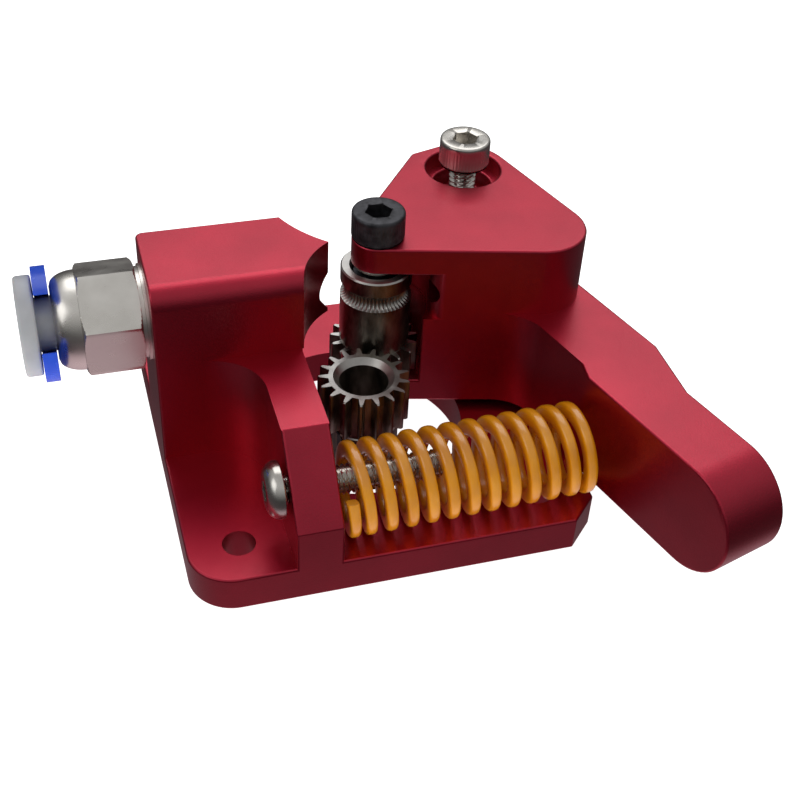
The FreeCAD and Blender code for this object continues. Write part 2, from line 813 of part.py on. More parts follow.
def build_needle_bearings():
    """Two caged rows of needles between the axle and the idler gear's bore."""
    count = int(number("needle_count"))
    circle = number("needle_circle_radius")
    needle_rise = (number("cage_length") - number("needle_length")) / 2
    place = FreeCAD.Placement(idler_stored(), FreeCAD.Rotation())
    for level in ("lower", "upper"):
        low = cage_bottom(level)
        up = FreeCAD.Vector(0, 0, low)
        cage = Part.makeCylinder(number("cage_outer_radius"), number("cage_length"), up)
        cage = cage.cut(Part.makeCylinder(number("cage_inner_radius"), number("cage_length"), up))
        needles = []
        for index in range(count):
            turn = 2 * math.pi * index / count
            at = FreeCAD.Vector(circle * math.cos(turn), circle * math.sin(turn),
                                low + needle_rise)
            needles.append(Part.makeCylinder(number("needle_radius"), number("needle_length"), at))
            slot = Part.makeCylinder(number("needle_radius + needle_gap"),
                                     number("needle_length + 2 * needle_gap"),
                                     at - FreeCAD.Vector(0, 0, number("needle_gap")))
            cage = cage.cut(slot)
        add_shape(f"needle_cage_{level}", cage, place)
        add_shape(f"needle_rollers_{level}", Part.makeCompound(needles), place)


# ------------------------------------------------------------------ spring

def build_spring():
    """Compression spring of flat wire, wound on a constant pitch."""
    turns = number("spring_turns")
    axial = number("spring_wire_axial")
    outer = number("spring_outer_radius")
    inner = outer - number("spring_wire_radial")
    length = number("spring_end - spring_start")
    climb = length - axial
    spine = Part.makeHelix(climb / turns, climb, outer)
    corners = [FreeCAD.Vector(outer, 0, -axial / 2), FreeCAD.Vector(outer, 0, axial / 2),
               FreeCAD.Vector(inner, 0, axial / 2), FreeCAD.Vector(inner, 0, -axial / 2)]
    section = Part.makePolygon(corners + corners[:1])
    wire = Part.Wire(spine).makePipeShell([section], True, True)
    start = FreeCAD.Vector(number("spring_start") + axial / 2, number("spring_y"),
                           number("spring_z"))
    leaning = FreeCAD.Rotation(FreeCAD.Vector(0, 1, 0), 90 - number("spring_lean"))
    add_shape("spring", wire, FreeCAD.Placement(start, leaning))


# ----------------------------------------------------------------- fitting

def build_fitting_body():
    """Threaded, hexagonal and domed body of the push-in fitting."""
    body = new_body("fitting_body")
    centre = ("filament_y", "filament_z")
    flange = "plate_left - fitting_flange_length"
    cylinder(body, "Additive", "fitting_stub", "fitting_thread_radius - thread_gap",
             (flange, *centre), "fitting_thread_length + fitting_flange_length", ALONG_X)
    cylinder(body, "Additive", "fitting_flange", "fitting_flange_radius", (flange, *centre),
             "fitting_flange_length", ALONG_X)
    turned = FreeCAD.Rotation(FreeCAD.Vector(1, 0, 0), number("hex_turn")).multiply(ALONG_X)
    hexagon(body, "Additive", "fitting_hex", "hex_circumradius", ("hex_left", *centre),
            f"{flange} - hex_left", turned)
    cylinder(body, "Additive", "fitting_barrel", "barrel_radius", ("barrel_left", *centre),
             "hex_left - barrel_left + overlap", ALONG_X)

    def barrel_rim(edge):
        span = edge.BoundBox
        return span.XLength < 0.01 and abs(span.XMin - number("barrel_left")) < 0.01

    dress(body, "Fillet", "barrel_dome", "Radius", "barrel_fillet", barrel_rim)
    mouth = "barrel_left - overlap"
    stub_end = "plate_left + fitting_thread_length + overlap"
    bores = (("collet_lip", "collet_lip_radius", mouth, "collet_bore_end"),
             ("collet_bore", "collet_bore_radius", "collet_lip_end", "collet_bore_end"),
             ("tube_bore", "tube_radius", mouth, "tube_stop"),
             ("filament_bore", "filament_hole_radius", mouth, stub_end))
    for name, radius, start, end in bores:
        cylinder(body, "Subtractive", name, radius, (start, *centre), f"({end}) - ({start})",
                 ALONG_X)


def build_collet():
    """The release collar and the stem that holds the gripping ring."""
    body = new_body("release_collet")
    centre = ("filament_y", "filament_z")
    cylinder(body, "Additive", "collar", "collar_radius", ("collar_left", *centre),
             "collar_right - collar_left", ALONG_X)
    cylinder(body, "Additive", "neck", "collet_neck_radius", ("collar_left", *centre),
             "collet_stem_end - collar_left", ALONG_X)
    cylinder(body, "Additive", "stem", "collet_stem_radius", ("collet_stem_start", *centre),
             "collet_stem_end - collet_stem_start", ALONG_X)
    cylinder(body, "Subtractive", "collet_hole", "tube_radius",
             ("collar_left - overlap", *centre), "collet_stem_end - collar_left + 2 * overlap",
             ALONG_X)


def build_fitting_rings():
    """The toothed ring that grips the tube and the ring that seals on it."""
    centre = ("filament_y", "filament_z")
    grip = new_body("grip_ring")
    cylinder(grip, "Additive", "grip_disc", "collet_bore_radius - thread_gap",
             ("grip_ring_left", *centre), "grip_ring_thick", ALONG_X)
    cylinder(grip, "Subtractive", "grip_hole", "tube_radius + running_gap",
             ("grip_ring_left - overlap", *centre), "grip_ring_thick + 2 * overlap", ALONG_X)
    seal = new_body("seal_ring")
    torus = seal.newObject("PartDesign::AdditiveTorus", "seal_section")
    place_feature(torus, ("seal_ring_centre", *centre), ALONG_X)
    bind(torus, "Radius1", "collet_bore_radius - seal_section_radius - thread_gap")
    bind(torus, "Radius2", "seal_section_radius")


def build_lock_clip():
    """The open ring that keeps the collet from being pressed in."""
    body = new_body("lock_clip")
    centre = ("filament_y", "filament_z")
    thick = "clip_right - clip_left"
    cylinder(body, "Additive", "clip_disc", "clip_outer_radius", ("clip_left", *centre), thick,
             ALONG_X)
    cylinder(body, "Subtractive", "clip_hole", "clip_inner_radius",
             ("clip_left - overlap", *centre), f"{thick} + 2 * overlap", ALONG_X)
    mouth = body.newObject("PartDesign::SubtractiveBox", "clip_mouth")
    tilt = FreeCAD.Rotation(FreeCAD.Vector(1, 0, 0), -number("clip_tilt"))
    mouth.Placement = FreeCAD.Placement(FreeCAD.Vector(), tilt)
    reach = "(clip_outer_radius + overlap)"
    bind(mouth, "Length", f"{thick} + 2 * overlap")
    bind(mouth, "Width", reach)
    bind(mouth, "Height", "clip_opening")
    drop = "(clip_opening / 2)"
    bind(mouth, "Placement.Base.x", "clip_left - overlap")
    bind(mouth, "Placement.Base.y",
         f"filament_y - {reach} * cos(clip_tilt) - {drop} * sin(clip_tilt)")
    bind(mouth, "Placement.Base.z",
         f"filament_z + {reach} * sin(clip_tilt) - {drop} * cos(clip_tilt)")


def check_and_write():
    """Refuse a failed feature or a bad solid, then write one file per piece."""
    doc.recompute()
    for thing in doc.Objects:
        if "Invalid" in thing.State or "Error" in thing.State:
            raise RuntimeError(f"{thing.Label}: {thing.State}")
    os.makedirs("parts", exist_ok=True)
    for piece in SUB_PARTS:
        shape = piece.Shape
        if shape.isNull() or not shape.isValid() or shape.Volume <= 0:
            raise RuntimeError(f"{piece.Label}: bad shape")
        shape.exportStep(f"parts/{piece.Label}.step")
        print(f"{piece.Label}: {len(shape.Solids)} solid(s), {shape.Volume:.2f} mm3")


build_frame()
build_lever()
build_pivot_hardware()
build_guide_screw()
build_idler_gear()
build_drive_gear()
build_idler_axle()
build_needle_bearings()
build_spring()
build_fitting_body()
build_collet()
build_fitting_rings()
build_lock_clip()
check_and_write()
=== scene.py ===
"""Looks of the geared filament extruder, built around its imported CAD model.

Lengths of details are in millimetres and become metres through MM.  Places
come from the frame: node boxes and joint positions.
"""
import json
import math

import bmesh
import bpy
from mathutils import Matrix, Vector


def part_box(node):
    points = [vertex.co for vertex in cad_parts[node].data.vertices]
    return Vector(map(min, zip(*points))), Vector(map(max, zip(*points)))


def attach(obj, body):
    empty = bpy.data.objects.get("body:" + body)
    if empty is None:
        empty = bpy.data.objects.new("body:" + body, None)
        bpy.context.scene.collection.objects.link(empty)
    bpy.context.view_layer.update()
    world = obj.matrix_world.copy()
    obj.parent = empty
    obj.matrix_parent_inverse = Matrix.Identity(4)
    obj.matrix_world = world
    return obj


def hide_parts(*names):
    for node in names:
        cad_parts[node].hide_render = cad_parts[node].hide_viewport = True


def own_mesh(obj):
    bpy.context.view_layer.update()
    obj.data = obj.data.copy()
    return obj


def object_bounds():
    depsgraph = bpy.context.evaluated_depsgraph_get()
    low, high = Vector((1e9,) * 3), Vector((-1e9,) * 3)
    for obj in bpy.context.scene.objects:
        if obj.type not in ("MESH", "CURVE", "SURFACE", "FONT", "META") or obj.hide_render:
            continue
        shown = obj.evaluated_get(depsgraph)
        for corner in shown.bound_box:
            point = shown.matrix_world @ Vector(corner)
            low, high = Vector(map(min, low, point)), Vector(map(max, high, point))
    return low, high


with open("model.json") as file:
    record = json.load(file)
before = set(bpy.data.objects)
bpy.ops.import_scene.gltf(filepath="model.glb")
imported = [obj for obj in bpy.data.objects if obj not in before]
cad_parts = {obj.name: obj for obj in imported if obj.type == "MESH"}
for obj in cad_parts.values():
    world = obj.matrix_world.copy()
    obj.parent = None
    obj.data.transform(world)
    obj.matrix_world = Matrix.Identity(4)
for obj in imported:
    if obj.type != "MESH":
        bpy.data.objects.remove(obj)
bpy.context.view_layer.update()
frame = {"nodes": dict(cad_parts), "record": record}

MM = 0.001
ALONG_X = Matrix.Rotation(math.radians(90), 4, "Y")
TURN = 2 * math.pi
SMOOTH_ANGLE = math.radians(32)


# ------------------------------------------------------------ mesh helpers

def joint_place(name):
    """A joint's position, in metres."""
    joints = frame["record"]["behaviour"]["joints"]
    return Vector(next(joint["pos_m"] for joint in joints if joint["name"] == name))


def middle(node):
    """The centre of a node's box, in metres."""
    low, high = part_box(node)
    return (Vector(low) + Vector(high)) / 2


def face_outwards(mesh):
    """Make every face of a closed mesh look outwards."""
    work = bmesh.new()
    work.from_mesh(mesh)
    bmesh.ops.recalc_face_normals(work, faces=work.faces)
    work.to_mesh(mesh)
    work.free()


def ring_mesh(name, profile, count, matrix, closed=False):
    """A stack of rings about Z, closed by end faces or, if closed, by itself.

    A ring is (radius, height), in millimetres, and its radius may be a function
    of the angle.
    """
    points = []
    for radius, height in profile:
        for step in range(count):
            turn = TURN * step / count
            reach = radius(turn) if callable(radius) else radius
            points.append((reach * math.cos(turn), reach * math.sin(turn), height))
    rows = len(profile)
    faces = []
    for row in range(rows if closed else rows - 1):
        above = (row + 1) % rows
        for step in range(count):
            beside = (step + 1) % count
            faces.append((row * count + step, row * count + beside,
                          above * count + beside, above * count + step))
    if not closed:
        faces.append(tuple(reversed(range(count))))
        faces.append(tuple(range((rows - 1) * count, rows * count)))
    mesh = bpy.data.meshes.new(name)
    mesh.from_pydata(points, [], faces)
    mesh.transform(matrix @ Matrix.Scale(MM, 4))
    face_outwards(mesh)
    return mesh


def rounded(corners, steps=4):
    """Points of a profile whose corners are (radius, height, rounding)."""
    points = []
    count = len(corners)
    for index, (radius, height, rounding) in enumerate(corners):
        here = Vector((radius, height))
        if not rounding:
            points.append(tuple(here))
            continue
        before = Vector(corners[index - 1][:2])
        after = Vector(corners[(index + 1) % count][:2])
        start = here + (before - here).normalized() * rounding
        end = here + (after - here).normalized() * rounding
        for step in range(steps + 1):
            share = step / steps
            first = start.lerp(here, share)
            points.append(tuple(first.lerp(here.lerp(end, share), share)))
    return points


def hexagon(across):
    """The radius of a hexagon of a given flat-to-centre distance."""
    sector = TURN / 6

    def radius(turn):
        return across / math.cos(turn % sector - sector / 2)
    return radius


# --------------------------------------------------------------- materials

# Noise seldom leaves this range.
NOISE_LOW = 0.3
NOISE_HIGH = 0.7


class Finish:
    """A procedural material and a few short ways to wire its nodes."""

    def __init__(self, name, **sockets):
        self.material = bpy.data.materials.new(name)
        self.material.use_nodes = True
        self.tree = self.material.node_tree
        self.shader = self.tree.nodes["Principled BSDF"]
        for socket, value in sockets.items():
            self.shader.inputs[socket.replace("_", " ")].default_value = value

    def node(self, kind, **inputs):
        """A new node with some of its input values set."""
        node = self.tree.nodes.new(kind)
        for key, value in inputs.items():
            node.inputs[key.replace("_", " ")].default_value = value
        return node

    def link(self, start, end):
        self.tree.links.new(start, end)

    def noise(self, size_mm, detail=2.0, stretch=(1, 1, 1)):
        """Noise whose features are about size_mm wide, stretched by an axis."""
        place = self.node("ShaderNodeTexCoord")
        mapping = self.node("ShaderNodeMapping", Scale=stretch)
        noise = self.node("ShaderNodeTexNoise", Scale=1 / (size_mm * MM), Detail=detail)
        self.link(place.outputs["Object"], mapping.inputs["Vector"])
        self.link(mapping.outputs["Vector"], noise.inputs["Vector"])
        return noise.outputs["Fac"]

    def ramp(self, source, low, high):
        """Colours from low to high as the source goes through its middle range."""
        ramp = self.tree.nodes.new("ShaderNodeValToRGB")
        first, last = ramp.color_ramp.elements
        first.position = NOISE_LOW
        first.color = (*low, 1)
        last.position = NOISE_HIGH
        last.color = (*high, 1)
        self.link(source, ramp.inputs["Fac"])
        return ramp.outputs["Color"]

    def spread(self, source, low, high):
        """A number from low to high as the source goes through its middle range."""
        spread = self.node("ShaderNodeMapRange", From_Min=NOISE_LOW, From_Max=NOISE_HIGH,
                           To_Min=low, To_Max=high)
        self.link(source, spread.inputs["Value"])
        return spread.outputs["Result"]

    def bump(self, source, depth_mm, strength=1.0):
        """Relief of a given depth."""
        bump = self.node("ShaderNodeBump", Strength=strength, Distance=depth_mm * MM)
        self.link(source, bump.inputs["Height"])
        self.link(bump.outputs["Normal"], self.shader.inputs["Normal"])

    def colour(self, output):
        self.link(output, self.shader.inputs["Base Color"])

    def roughness(self, output):
        self.link(output, self.shader.inputs["Roughness"])

    def mix(self, factor, first, second):
        """The first colour where the factor is 0 and the second where it is 1."""
        mix = self.tree.nodes.new("ShaderNodeMix")
        mix.data_type = "RGBA"
        self.link(factor, mix.inputs["Factor"])
        self.link(first, mix.inputs["A"])
        self.link(second, mix.inputs["B"])
        return mix.outputs["Result"]


def anodised_finish():
    """Bead-blasted aluminium under red anodising: fine grain, satin sheen."""
    finish = Finish("red_anodised", Metallic=1.0, Coat_Weight=0.65, Coat_Roughness=0.28,
                    Coat_IOR=1.5)
    cloud = finish.noise(6, detail=3)
    grain = finish.noise(0.16, detail=1)
    finish.colour(finish.ramp(cloud, (0.43, 0.008, 0.034), (0.51, 0.012, 0.042)))
    finish.roughness(finish.spread(grain, 0.36, 0.48))
    finish.bump(grain, 0.02, strength=0.8)
    return finish.material


def nickel_finish():
    """Satin nickel plating over a finely sanded surface."""
    finish = Finish("nickel_plate", Metallic=1.0)
    cloud = finish.noise(2.5, detail=3)
    grain = finish.noise(0.22, detail=1)
    finish.colour(finish.ramp(cloud, (0.74, 0.71, 0.66), (0.86, 0.83, 0.78)))
    finish.roughness(finish.spread(cloud, 0.24, 0.36))
    finish.bump(grain, 0.008, strength=0.5)
    return finish.material


def stainless_finish():
    """Bright stainless steel with faint turning marks."""
    finish = Finish("stainless", Metallic=1.0)
    cloud = finish.noise(1.5, detail=3)
    lines = finish.noise(0.2, detail=2, stretch=(1, 1, 5))
    finish.colour(finish.ramp(cloud, (0.55, 0.52, 0.48), (0.70, 0.68, 0.64)))
    finish.roughness(finish.spread(cloud, 0.2, 0.3))
    finish.bump(lines, 0.008, strength=0.4)
    return finish.material


def black_oxide_finish():
    """Blackened steel, slightly blotchy and oily."""
    finish = Finish("black_oxide", Metallic=0.8)
    cloud = finish.noise(0.8, detail=4)
    finish.colour(finish.ramp(cloud, (0.03, 0.03, 0.034), (0.085, 0.085, 0.095)))
    finish.roughness(finish.spread(cloud, 0.36, 0.5))
    finish.bump(finish.noise(0.15, detail=2), 0.01, strength=0.5)
    return finish.material


def gear_finish():
    """Machined steel with blotchy oil, painted lighter on the faces across its axis as painted
    highlight and darker on its sides as painted shade.
    """
    finish = Finish("gear_steel", Metallic=1.0)
    geometry = finish.tree.nodes.new("ShaderNodeNewGeometry")
    split = finish.tree.nodes.new("ShaderNodeSeparateXYZ")
    painted_light_share = finish.tree.nodes.new("ShaderNodeMath")
    painted_light_share.operation = "ABSOLUTE"
    finish.link(geometry.outputs["Normal"], split.inputs["Vector"])
    finish.link(split.outputs["Z"], painted_light_share.inputs[0])
    oil = finish.noise(1.2, detail=4, stretch=(1, 1, 0.4))
    # Painted light: a darker copy of the colour as painted shade on the sides, a lighter copy as
    # painted highlight on the faces across the axis.
    painted_shade_sides = finish.ramp(oil, (0.10, 0.085, 0.07), (0.36, 0.32, 0.27))
    painted_lit_faces = finish.ramp(oil, (0.46, 0.45, 0.43), (0.60, 0.59, 0.57))
    finish.colour(finish.mix(painted_light_share.outputs["Value"], painted_shade_sides, painted_lit_faces))
    finish.roughness(finish.spread(oil, 0.28, 0.42))
    finish.bump(finish.noise(0.15, detail=2, stretch=(1, 1, 4)), 0.006, strength=0.4)
    return finish.material


def lacquer_finish():
    """Thick yellow lacquer, glossy and a little uneven."""
    finish = Finish("yellow_lacquer", Coat_Weight=1.0, Coat_Roughness=0.16)
    cloud = finish.noise(3, detail=3)
    finish.colour(finish.ramp(cloud, (0.68, 0.24, 0.001), (0.86, 0.34, 0.003)))
    finish.roughness(finish.spread(cloud, 0.28, 0.38))
    finish.bump(finish.noise(0.7, detail=2), 0.03, strength=0.35)
    return finish.material


def moulded_finish(name, low, high, roughness):
    """Moulded plastic with a slight cloudiness and a fine skin."""
    finish = Finish(name, Subsurface_Weight=0.08, Subsurface_Scale=1.0 * MM)
    cloud = finish.noise(2.5, detail=3)
    finish.colour(finish.ramp(cloud, low, high))
    finish.roughness(finish.spread(cloud, *roughness))
    finish.bump(finish.noise(0.3, detail=2), 0.01, strength=0.3)
    return finish.material


def floor_finish():
    """Matt white, glowing enough to stay white without strong lights."""
    finish = Finish("pale_floor", Roughness=0.9, Emission_Color=(1, 1, 1, 1),
                    Emission_Strength=1.0)
    finish.colour(finish.ramp(finish.noise(400), (0.90, 0.90, 0.90), (0.93, 0.93, 0.93)))
    return finish.material


FINISHES = {
    "red_anodised": anodised_finish(),
    "nickel_plate": nickel_finish(),
    "stainless": stainless_finish(),
    "black_oxide": black_oxide_finish(),
    "gear_steel": gear_finish(),
    "yellow_lacquer": lacquer_finish(),
    "grey_plastic": moulded_finish("grey_plastic", (0.46, 0.47, 0.49), (0.55, 0.56, 0.58),
                                   (0.32, 0.42)),
    "blue_plastic": moulded_finish("blue_plastic", (0.008, 0.07, 0.68), (0.015, 0.11, 0.86),
                                   (0.22, 0.32)),
    "black_rubber": moulded_finish("black_rubber", (0.01, 0.01, 0.01), (0.03, 0.03, 0.03),
                                   (0.5, 0.7)),
}
SLOTS = {item["node"]: item["material_slot"] for item in frame["record"]["subparts"]}
BODIES = {node: body for body, nodes in frame["record"]["behaviour"]["bodies"].items()
          for node in nodes}


def dress_cad_nodes():
    """Give every CAD node the material of its slot."""
    for node, thing in frame["nodes"].items():
        thing.data.materials.clear()
        thing.data.materials.append(FINISHES[SLOTS[node]])


def piece_for(node, name, mesh):
    """A smooth-shaded piece that stands for one CAD node and rides on its body."""
    mesh.validate()
    mesh.shade_smooth()
    mesh.set_sharp_from_angle(angle=SMOOTH_ANGLE)
    piece = bpy.data.objects.new(name, mesh)
    bpy.context.collection.objects.link(piece)
    mesh.materials.clear()
    mesh.materials.append(FINISHES[SLOTS[node]])
    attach(piece, BODIES[node])
    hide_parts(node)
    return piece


# ----------------------------------------------------- milled frame and lever

EDGE_ANGLE = math.radians(50)
# Points closer than this are one point.
WELD = 0.002


def milled(node, name):
    """A copy of a CAD node with one even shading across its rounded edges."""
    mesh = frame["nodes"][node].data.copy()
    work = bmesh.new()
    work.from_mesh(mesh)
    bmesh.ops.remove_doubles(work, verts=work.verts, dist=WELD * MM)
    work.to_mesh(mesh)
    work.free()
    stored = mesh.attributes.get("custom_normal")
    if stored:
        mesh.attributes.remove(stored)
    piece = piece_for(node, name, mesh)
    mesh.set_sharp_from_angle(angle=EDGE_ANGLE)
    even = piece.modifiers.new("even_shading", "WEIGHTED_NORMAL")
    even.keep_sharp = True
    return piece


# ------------------------------------------------------------------- screws

HEAD_RADIUS = 2.75
HEAD_HEIGHT = 3.0
HEAD_RIM = 0.35
HEAD_FOOT_ROUNDING = 0.2
KNURLS_LOW = 0.35
KNURLS_TOP = HEAD_HEIGHT - 0.6
KNURL_RUN_OUT = 0.15
SHANK_RADIUS = 1.5
SOCKET_ACROSS = 1.25
SOCKET_DEPTH = 1.6
SOCKET_MOUTH = 1.47
SOCKET_BEVEL = 0.07
THREAD_PITCH = 0.5
THREAD_DEPTH = 0.27
THREAD_ROWS = 8
KNURLS = 48
KNURL_DEPTH = 0.05
PIVOT_THREAD_LENGTH = 24.5
AXLE_THREAD_LENGTH = 5.0
SCREW_SIDES = 192


def thread_radius(height):
    """The radius of a right-handed thread around one height."""
    steepness = 1.25
    crest = 0.1

    def radius(turn):
        share = (height / THREAD_PITCH - turn / TURN) % 1.0
        flank = abs(2 * share - 1)
        return SHANK_RADIUS - THREAD_DEPTH * min(max(steepness * flank - crest, 0), 1)
    return radius


def thread_rings(bottom, count):
    """The tapered end and the thread of a shank, from the bottom upwards."""
    rings = [(SHANK_RADIUS - 2 * THREAD_DEPTH, bottom)]
    for row in range(count):
        height = bottom + THREAD_DEPTH + row * THREAD_PITCH / THREAD_ROWS
        rings.append((thread_radius(height), height))
    return rings


def knurled(radius):
    """A radius cut by the fine grooves around a screw head."""
    def at(turn):
        return radius - KNURL_DEPTH * (0.5 - 0.5 * math.cos(KNURLS * turn)) ** 0.5
    return at


def cap_head_rings():
    """A cap screw's head, from its seat to the mouth of its socket."""
    foot = rounded([(SHANK_RADIUS, 0, 0), (HEAD_RADIUS, 0, HEAD_FOOT_ROUNDING)])[1:]
    side = [(HEAD_RADIUS, KNURLS_LOW), (knurled(HEAD_RADIUS), KNURLS_LOW + KNURL_RUN_OUT),
            (knurled(HEAD_RADIUS), KNURLS_TOP - KNURL_RUN_OUT), (HEAD_RADIUS, KNURLS_TOP)]
    rim = rounded([(HEAD_RADIUS, KNURLS_TOP, 0), (HEAD_RADIUS, HEAD_HEIGHT, HEAD_RIM),
                   (SOCKET_MOUTH, HEAD_HEIGHT, 0)])[1:-1]
    return foot + side + rim + socket_rings(HEAD_HEIGHT)


def cap_screw(node, name, thread_length):
    """Socket head cap screw with its thread, rim, knurls and hexagon socket."""
    low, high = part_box(node)
    centre = middle(node)
    bottom = (low[2] - high[2]) / MM + HEAD_HEIGHT
    profile = thread_rings(bottom, int(thread_length / THREAD_PITCH * THREAD_ROWS) + 1)
    thread_end = profile[-1][1]
    if thread_end < -THREAD_PITCH:
        profile.append((SHANK_RADIUS, thread_end + THREAD_DEPTH))
    profile.append((SHANK_RADIUS, 0.0))
    profile += cap_head_rings()
    place = Matrix.Translation((centre.x, centre.y, high[2] - HEAD_HEIGHT * MM))
    return piece_for(node, name, ring_mesh(name, profile, SCREW_SIDES, place))


def socket_rings(top, across=SOCKET_ACROSS, mouth=SOCKET_MOUTH, depth=SOCKET_DEPTH):
    """The bevelled mouth, walls and drilled end of a hexagon socket."""
    drill_radius = across * 0.95
    drill_depth = across * 0.4
    drill_point = 0.1
    return [(mouth, top), (hexagon(across), top - SOCKET_BEVEL),
            (hexagon(across), top - depth), (drill_radius, top - depth),
            (drill_point, top - depth - drill_depth)]


BUTTON_RADIUS = 2.85
BUTTON_HEIGHT = 1.65
BUTTON_RIM = 0.3
BUTTON_SOCKET = 0.98
BUTTON_SOCKET_MOUTH = 1.25
BUTTON_SOCKET_DEPTH = 1.1
BUTTON_EDGE = 0.1
BUTTON_STEPS = 12
BUTTON_SIDES = 144


def guide_screw():
    """Button head screw lying along X, with its head to the left of the post."""
    node = "spring_guide_screw"
    low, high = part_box(node)
    centre = middle(node)
    length = (high[0] - low[0]) / MM - BUTTON_HEIGHT
    profile = thread_rings(-length, int(length / THREAD_PITCH * THREAD_ROWS))
    profile += [(SHANK_RADIUS, 0), (BUTTON_RADIUS - BUTTON_EDGE, 0),
                (BUTTON_RADIUS, BUTTON_EDGE), (BUTTON_RADIUS, BUTTON_RIM)]
    for step in range(1, BUTTON_STEPS):
        lean = math.pi / 2 * step / BUTTON_STEPS
        radius = SOCKET_MOUTH + (BUTTON_RADIUS - SOCKET_MOUTH) * math.cos(lean)
        profile.append((radius, BUTTON_RIM + (BUTTON_HEIGHT - BUTTON_RIM) * math.sin(lean)))
    profile += socket_rings(BUTTON_HEIGHT, BUTTON_SOCKET, BUTTON_SOCKET_MOUTH,
                            BUTTON_SOCKET_DEPTH)
    head_seat = low[0] + BUTTON_HEIGHT * MM
    toward_left = Matrix.Rotation(math.radians(-90), 4, "Y")
    place = Matrix.Translation((head_seat, centre.y, centre.z)) @ toward_left
    mesh = ring_mesh("guide_button_screw", profile, BUTTON_SIDES, place)
    return piece_for(node, "guide_button_screw", mesh)


# -------------------------------------------------------------------- gears

TEETH = 17
TOOTH_SAMPLES = 24
TIP_RADIUS = 4.76
ROOT_RADIUS = 3.65
TOOTH_CREST = math.radians(1.1)
TOOTH_FOOT = math.radians(5.6)
HUB_RADIUS = 3.75
HOB_CIRCLE = 4.0
HOB_THROAT = 0.95
HOB_TEETH = 51
HOB_TOOTH_DEPTH = 0.16
HOB_DROP = 0.45
MESH_LEAD = math.radians(4.0)
GROOVE_DEPTH = 0.15
GROOVE_WIDTH = 0.5
GROOVE_SLOPE = 0.1
TOOTH_END_BREAK = 0.12
HOB_STEPS = 16


def toothed(direction, shrink=0.0):
    """Radius of the toothed band, with a tooth centred on a direction."""
    spacing = TURN / TEETH

    def radius(turn):
        offset = (turn - direction + spacing / 2) % spacing - spacing / 2
        share = min(max((abs(offset) - TOOTH_CREST) / (TOOTH_FOOT - TOOTH_CREST), 0), 1)
        rise = 0.5 + 0.5 * math.cos(math.pi * share)
        return ROOT_RADIUS + (TIP_RADIUS - shrink - ROOT_RADIUS) * rise
    return radius


def band_rings(direction, low, high):
    """A toothed band with lightly broken tooth ends."""
    edge = TOOTH_END_BREAK
    return [(toothed(direction, edge), low), (toothed(direction), low + edge),
            (toothed(direction), high - edge), (toothed(direction, edge), high)]


def hob_rings(centre):
    """The hobbed groove: a hollow with fine cut teeth across it."""
    half = math.sqrt(HOB_THROAT ** 2 - (HOB_CIRCLE - HUB_RADIUS) ** 2)
    rows = []
    for step in range(HOB_STEPS + 1):
        away = half * (2 * step / HOB_STEPS - 1)
        floor = HOB_CIRCLE - math.sqrt(HOB_THROAT ** 2 - away ** 2)
        depth = HOB_TOOTH_DEPTH * min(1.0, (HUB_RADIUS - floor) / HOB_TOOTH_DEPTH)

        def radius(turn, floor=floor, depth=depth):
            return floor - depth * abs(math.sin(HOB_TEETH * turn / 2)) + depth / 2

        rows.append((radius if 0 < step < HOB_STEPS else HUB_RADIUS, centre + away))
    return rows


def gear_piece(node, name, axis, outside, bore):
    """A gear from its outer rings, bottom to top, and the rings of its bore."""
    mesh = ring_mesh(name, outside + bore, TEETH * TOOTH_SAMPLES, Matrix.Translation(axis), True)
    return piece_for(node, name, mesh)


def idler_gear():
    """The geared idler: teeth below, hobbed groove above."""
    axis = joint_place("idler_spin")
    other = joint_place("drive_spin")
    direction = math.atan2(other.y - axis.y, other.x - axis.x)
    low, high = (edge[2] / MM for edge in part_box("idler_gear"))
    hob = middle("fitting_body").z / MM - HOB_DROP
    band_width = 3.6
    root = 3.3
    bore = 2.55
    chamfer = 0.3
    edge = 0.15
    teeth_top = low + band_width
    narrow = HUB_RADIUS - GROOVE_DEPTH
    outside = [(root, low)] + band_rings(direction, low, teeth_top)
    outside += [(narrow, teeth_top), (narrow, teeth_top + GROOVE_WIDTH),
                (HUB_RADIUS, teeth_top + GROOVE_WIDTH + GROOVE_SLOPE)]
    outside += hob_rings(hob)
    outside += [(HUB_RADIUS, high - edge), (HUB_RADIUS - edge, high)]
    inside = [(bore + chamfer, high), (bore, high - chamfer), (bore, low + chamfer),
              (bore + chamfer, low)]
    return gear_piece("idler_gear", "idler_steel", axis, outside, inside)


def drive_gear():
    """The motor's gear, standing on its hub with its teeth at the top."""
    axis = joint_place("drive_spin")
    other = joint_place("idler_spin")
    facing = math.atan2(other.y - axis.y, other.x - axis.x)
    direction = facing + math.pi / TEETH + MESH_LEAD
    low, high = (edge[2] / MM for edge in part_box("drive_gear"))
    band_width = 5.0
    hob_height = 2.4
    bore = 2.51
    step_bore = 2.55
    mouth = 3.15
    mouth_depth = 0.6
    foot = 2.8
    foot_chamfer = 0.3
    edge = 0.2
    teeth_low = high - band_width
    narrow = HUB_RADIUS - GROOVE_DEPTH
    outside = [(HUB_RADIUS - edge, low), (HUB_RADIUS, low + edge)] + hob_rings(low + hob_height)
    outside += [(HUB_RADIUS, teeth_low - GROOVE_WIDTH - GROOVE_SLOPE),
                (narrow, teeth_low - GROOVE_WIDTH), (narrow, teeth_low)]
    outside += band_rings(direction, teeth_low, high)
    inside = [(mouth, high), (step_bore, high - mouth_depth), (bore, high - 2 * mouth_depth),
              (bore, low + foot_chamfer), (foot, low)]
    return gear_piece("drive_gear", "drive_steel", axis, outside, inside)


# ------------------------------------------------------------------- spring

